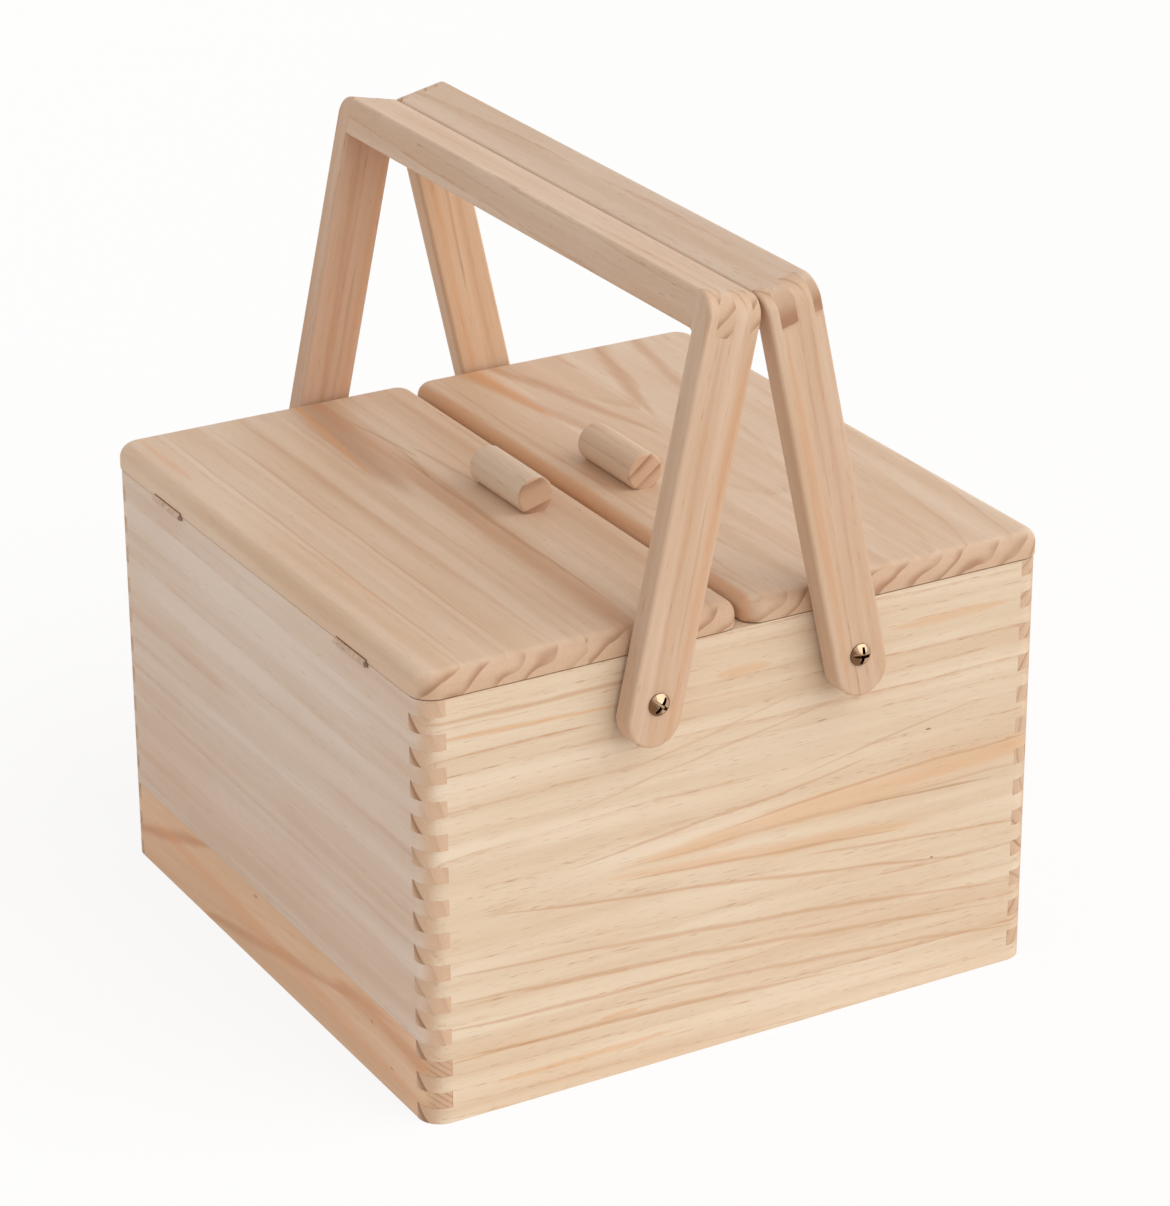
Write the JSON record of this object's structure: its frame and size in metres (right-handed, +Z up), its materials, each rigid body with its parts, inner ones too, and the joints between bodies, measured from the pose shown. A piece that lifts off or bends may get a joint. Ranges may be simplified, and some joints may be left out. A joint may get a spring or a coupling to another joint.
{
  "type": "twin-lid sewing carrier",
  "caption": "Square pine sewing box with finger-jointed corners, a pair of lids hinged at the sides with dowel knobs, and a pair of swinging carrying handles that meet over the middle.",
  "frame": {"origin": "on the floor under the middle of the box", "axes": "+Z up, +X to the right lid, -Y to the front with the two visible pivot screws"},
  "size_m": [0.279, 0.3022, 0.316],
  "materials": {
    "case_pine": "planed pale pine, thin clear satin varnish",
    "case_pine_low": "planed pine of a warmer board, thin clear satin varnish",
    "lid_pine": "planed tan pine with rounded upper edges, satin varnish",
    "knob_pine": "turned pine dowel, satin varnish",
    "handle_pine": "planed pine with eased edges, satin varnish",
    "bottom_ply": "thin plywood, sanded",
    "pivot_steel": "nickel-plated steel, polished",
    "hinge_brass": "brass-plated steel, satin",
    "screw_steel": "plain bright steel"
  },
  "bodies": {
    "case": {"front_panel": "case_pine", "back_panel": "case_pine", "left_upper_board": "case_pine", "right_upper_board": "case_pine", "left_lower_board": "case_pine_low", "right_lower_board": "case_pine_low", "bottom_panel": "bottom_ply", "pivot_screws": "pivot_steel", "spacer_washers": "pivot_steel", "inner_washers": "pivot_steel", "pivot_nuts": "pivot_steel", "left_front_hinge_case_leaf": "hinge_brass", "left_front_hinge_pin": "screw_steel", "left_back_hinge_case_leaf": "hinge_brass", "left_back_hinge_pin": "screw_steel", "left_case_leaf_screws": "hinge_brass", "right_front_hinge_case_leaf": "hinge_brass", "right_front_hinge_pin": "screw_steel", "right_back_hinge_case_leaf": "hinge_brass", "right_back_hinge_pin": "screw_steel", "right_case_leaf_screws": "hinge_brass"},
    "left_lid": {"left_lid_outer_board": "lid_pine", "left_lid_inner_board": "lid_pine", "left_knob": "knob_pine", "left_knob_screws": "screw_steel", "left_front_hinge_lid_leaf": "hinge_brass", "left_back_hinge_lid_leaf": "hinge_brass", "left_lid_leaf_screws": "hinge_brass"},
    "right_lid": {"right_lid_outer_board": "lid_pine", "right_lid_inner_board": "lid_pine", "right_knob": "knob_pine", "right_knob_screws": "screw_steel", "right_front_hinge_lid_leaf": "hinge_brass", "right_back_hinge_lid_leaf": "hinge_brass", "right_lid_leaf_screws": "hinge_brass"},
    "left_handle": {"left_handle_front_leg": "handle_pine", "left_handle_back_leg": "handle_pine", "left_handle_bar": "handle_pine"},
    "right_handle": {"right_handle_front_leg": "handle_pine", "right_handle_back_leg": "handle_pine", "right_handle_bar": "handle_pine"}
  },
  "joints": [
    {"name": "left_lid_hinge", "type": "hinge", "parent": "case", "child": "left_lid", "pos_m": [-0.138, 0, 0.177], "axis": [0, -1, 0], "range_deg": [0, 180]},
    {"name": "right_lid_hinge", "type": "hinge", "parent": "case", "child": "right_lid", "pos_m": [0.138, 0, 0.177], "axis": [0, 1, 0], "range_deg": [0, 180]},
    {"name": "left_handle_pivot", "type": "hinge", "parent": "case", "child": "left_handle", "pos_m": [-0.0445, 0, 0.1604], "axis": [0, -1, 0], "range_deg": [0, 146]},
    {"name": "right_handle_pivot", "type": "hinge", "parent": "case", "child": "right_handle", "pos_m": [0.0445, 0, 0.1604], "axis": [0, 1, 0], "range_deg": [0, 146]}
  ]
}
